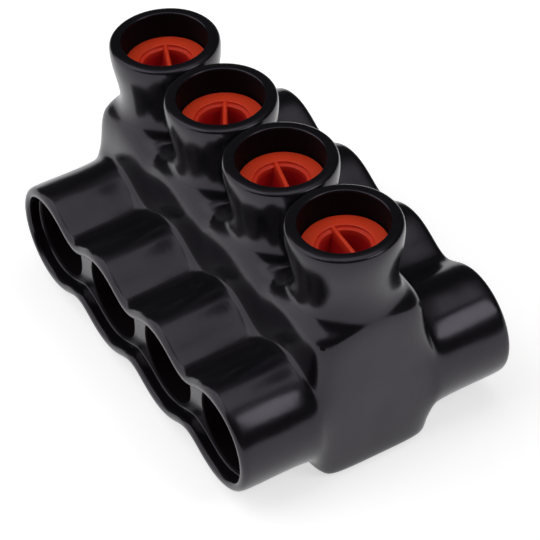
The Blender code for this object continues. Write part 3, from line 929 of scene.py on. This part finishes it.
def rod(sizes, radius, depth, reach, edge, tip_radius, tip_height, finish):
    """A threaded rod of this radius and length, from the origin up."""
    turns = reach / sizes.thread_pitch
    return grown(tree_named("threaded_rod", threaded_rod_tree), bpy.data.meshes.new("rod"),
                 {"Radius": radius, "Length": reach, "Pitch": sizes.thread_pitch, "Depth": depth,
                  "Edge": edge, "Tip Radius": tip_radius, "Tip Height": tip_height,
                  "Steps": SCREW_STEPS, "Rows": round(turns * ROWS_PER_TURN), "Finish": finish})


def make_screws(sizes):
    """The set screws, each with a thread, a hexagon socket and a pointed tip."""
    finish = metal_finish("screw_aluminium", sizes.screw_tint, (1, 1, 6), 0.30)
    blank = rod(sizes, sizes.screw_radius, sizes.thread_depth, sizes.screw_length,
                sizes.screw_edge, sizes.tip_radius, sizes.tip_height, finish)
    corner = sizes.flats / math.sqrt(3)
    bottom = sizes.screw_length - sizes.socket_depth
    over = sizes.screw_length + sizes.screw_edge
    key_way = turned_mesh("hex_socket", ((0, bottom - sizes.screw_edge), (corner, bottom),
                                         (corner, over), (0, over)), steps=6)
    blank = cut(blank, key_way, finish)
    for i in range(TAPS):
        node = f"set_screw_{i + 1}"
        place_piece(f"threaded_screw_{i + 1}", blank, finish, seat_of(node, (0, 0, -1)), (0, 0, 0),
                    body_with(node), "screw_aluminium", node)


def make_block(sizes):
    """The block with its wire ports and tapped holes."""
    finish = metal_finish("tin_plate", sizes.block_tint, (0.05, 1, 1), 0.34)
    size, middle = BLOCK_HIGH - BLOCK_LOW, (BLOCK_LOW + BLOCK_HIGH) / 2
    face = BLOCK_HIGH.x
    port = turned_mesh("port", (
        (0, -face - sizes.port_edge),
        (sizes.port_radius + 2 * sizes.port_edge, -face - sizes.port_edge),
        (sizes.port_radius, -face + sizes.port_edge),
        (sizes.port_radius, face - sizes.port_edge),
        (sizes.port_radius + 2 * sizes.port_edge, face + sizes.port_edge),
        (0, face + sizes.port_edge),
    ), along="X")
    crest = sizes.screw_radius + sizes.tapping_gap + sizes.tapping_depth
    tapping = rod(sizes, crest, sizes.tapping_depth, BLOCK_HIGH.z - AXIS_Z + sizes.tapping_gap,
                  0.0, crest, sizes.tip_height, finish)
    mesh = box_mesh("block", size, middle, sizes.block_edge, 2)
    mesh = cut(mesh, port, finish, first=(0, TAP_Y[0], AXIS_Z), copies=TAPS)
    mesh = cut(mesh, tapping, finish, first=(0, TAP_Y[0], AXIS_Z), copies=TAPS)
    finished("tapped_block", mesh, "connector", "block_aluminium", "connector_block")


# Stage

def facing(middle, azimuth, elevation, distance):
    """A place round the object, turned so that what stands there looks at the middle."""
    way = Vector((math.sin(azimuth) * math.cos(elevation), -math.cos(azimuth) * math.cos(elevation),
                  math.sin(elevation)))
    return (Matrix.Translation(middle + way * distance)
            @ way.to_track_quat("Z", "Y").to_matrix().to_4x4())


def make_camera(stage):
    """The camera where a fit to the photograph puts it."""
    data = bpy.data.cameras.new("photo_camera")
    data.lens = stage.lens
    data.sensor_width = SENSOR_WIDTH
    data.clip_start, data.clip_end = NEAREST, FARTHEST
    camera = in_scene("photo_camera", data)
    camera.matrix_world = (facing(Vector(stage.aim), stage.azimuth, stage.elevation, stage.distance)
                           @ Matrix.Rotation(stage.roll, 4, "Z"))
    bpy.context.scene.camera = camera


def make_lamps(stage):
    """Soft boxes, aimed where the camera aims and kept out of its sight."""
    for name, azimuth, elevation, width, height, distance, radiance in LAMPS:
        data = bpy.data.lights.new(name, "AREA")
        data.shape = "RECTANGLE"
        data.size, data.size_y = width, height
        data.energy = radiance * math.pi * width * height
        lamp = in_scene(name, data)
        lamp.matrix_world = facing(Vector(stage.aim), math.radians(azimuth),
                                   math.radians(elevation), distance)
        lamp.visible_camera = False


def make_world(stage):
    """A white sweep at the horizon, dark walls over it and a brighter ceiling."""
    world = bpy.data.worlds.new("studio")
    bpy.context.scene.world = world
    world.use_nodes = True
    nodes, links = world.node_tree.nodes, world.node_tree.links
    way = nodes.new("ShaderNodeSeparateXYZ")
    links.new(nodes.new("ShaderNodeTexCoord").outputs["Generated"], way.inputs[0])
    start, end = HORIZON_GLOW
    glow = ranged(nodes, links, way.outputs["Z"], 1.0, stage.walls, start, end)
    ceiling = ranged(nodes, links, way.outputs["Z"], 0.0, stage.ceiling, *CEILING_RISE)
    backdrop = nodes["Background"]
    backdrop.inputs["Color"].default_value = (1, 1, 1, 1)
    links.new(combined(nodes, links, "ADD", glow, ceiling), backdrop.inputs["Strength"])


def make_floor(stage):
    """A pale floor that keeps the object's shadow and lifts itself to white."""
    made, nodes, links, shader = new_finish("pale_floor", 0.9)
    shader.inputs["Base Color"].default_value = (*stage.floor_tint, 1)
    shader.inputs["Specular IOR Level"].default_value = 0.0
    shader.inputs["Emission Color"].default_value = (1, 1, 1, 1)
    rays = nodes.new("ShaderNodeLightPath")
    seen = rays.outputs["Is Camera Ray"]
    for kind in ("Is Glossy Ray", "Is Transmission Ray"):
        seen = combined(nodes, links, "MAXIMUM", seen, rays.outputs[kind])
    links.new(ranged(nodes, links, seen, 0.0, stage.floor_lift, 0.0, 1.0),
              shader.inputs["Emission Strength"])
    bm = bmesh.new()
    bmesh.ops.create_grid(bm, x_segments=1, y_segments=1, size=FLOOR_REACH)
    mesh = bpy.data.meshes.new("floor")
    bm.to_mesh(mesh)
    bm.free()
    mesh.materials.append(made)
    in_scene("floor", mesh)


# Operators and panel

class CONNECTOR_OT_jacket(bpy.types.Operator):
    """Make the dip-moulded jacket"""

    bl_idname = "connector.jacket"
    bl_label = "Jacket"

    def execute(self, context):
        make_jacket(context.scene.connector_jacket)
        return {"FINISHED"}


class CONNECTOR_OT_plugs(bpy.types.Operator):
    """Make the red caps and the red port plugs"""

    bl_idname = "connector.plugs"
    bl_label = "Caps and plugs"

    def execute(self, context):
        make_plugs(context.scene.connector_plugs, context.scene.connector_jacket)
        return {"FINISHED"}


class CONNECTOR_OT_screws(bpy.types.Operator):
    """Make the threaded set screws"""

    bl_idname = "connector.screws"
    bl_label = "Set screws"

    def execute(self, context):
        make_screws(context.scene.connector_metal)
        return {"FINISHED"}


class CONNECTOR_OT_block(bpy.types.Operator):
    """Make the tapped aluminium block"""

    bl_idname = "connector.block"
    bl_label = "Block"

    def execute(self, context):
        make_block(context.scene.connector_metal)
        return {"FINISHED"}


class CONNECTOR_OT_stage(bpy.types.Operator):
    """Make the floor, the lamps, the world and the camera"""

    bl_idname = "connector.stage"
    bl_label = "Stage"

    def execute(self, context):
        stage = context.scene.connector_stage
        make_floor(stage)
        make_world(stage)
        make_lamps(stage)
        make_camera(stage)
        context.scene.view_settings.view_transform = "Standard"
        return {"FINISHED"}


class CONNECTOR_PT_pieces(bpy.types.Panel):
    """Lists what makes the connector"""

    bl_idname = "CONNECTOR_PT_pieces"
    bl_label = "Connector"
    bl_space_type = "VIEW_3D"
    bl_region_type = "UI"
    bl_category = "Connector"

    def draw(self, context):
        for operator in OPERATORS:
            self.layout.operator(operator.bl_idname)
        for name in SETTINGS:
            settings = getattr(context.scene, name)
            box = self.layout.box()
            for key in settings.bl_rna.properties.keys():
                if key not in ("name", "rna_type"):
                    box.prop(settings, key)


SETTINGS = {
    "connector_jacket": JacketSizes,
    "connector_plugs": PlugSizes,
    "connector_metal": MetalSizes,
    "connector_stage": StageSettings,
}
OPERATORS = (CONNECTOR_OT_stage, CONNECTOR_OT_jacket, CONNECTOR_OT_plugs, CONNECTOR_OT_screws,
             CONNECTOR_OT_block)
CLASSES = (*SETTINGS.values(), *OPERATORS, CONNECTOR_PT_pieces)


def register():
    for cls in CLASSES:
        bpy.utils.register_class(cls)
    for name, group in SETTINGS.items():
        setattr(bpy.types.Scene, name, PointerProperty(type=group))


def unregister():
    for name in SETTINGS:
        delattr(bpy.types.Scene, name)
    for cls in reversed(CLASSES):
        bpy.utils.unregister_class(cls)


def main():
    register()
    bpy.ops.connector.stage()
    bpy.ops.connector.jacket()
    bpy.ops.connector.plugs()
    bpy.ops.connector.screws()
    bpy.ops.connector.block()


if __name__ == "__main__":
    main()
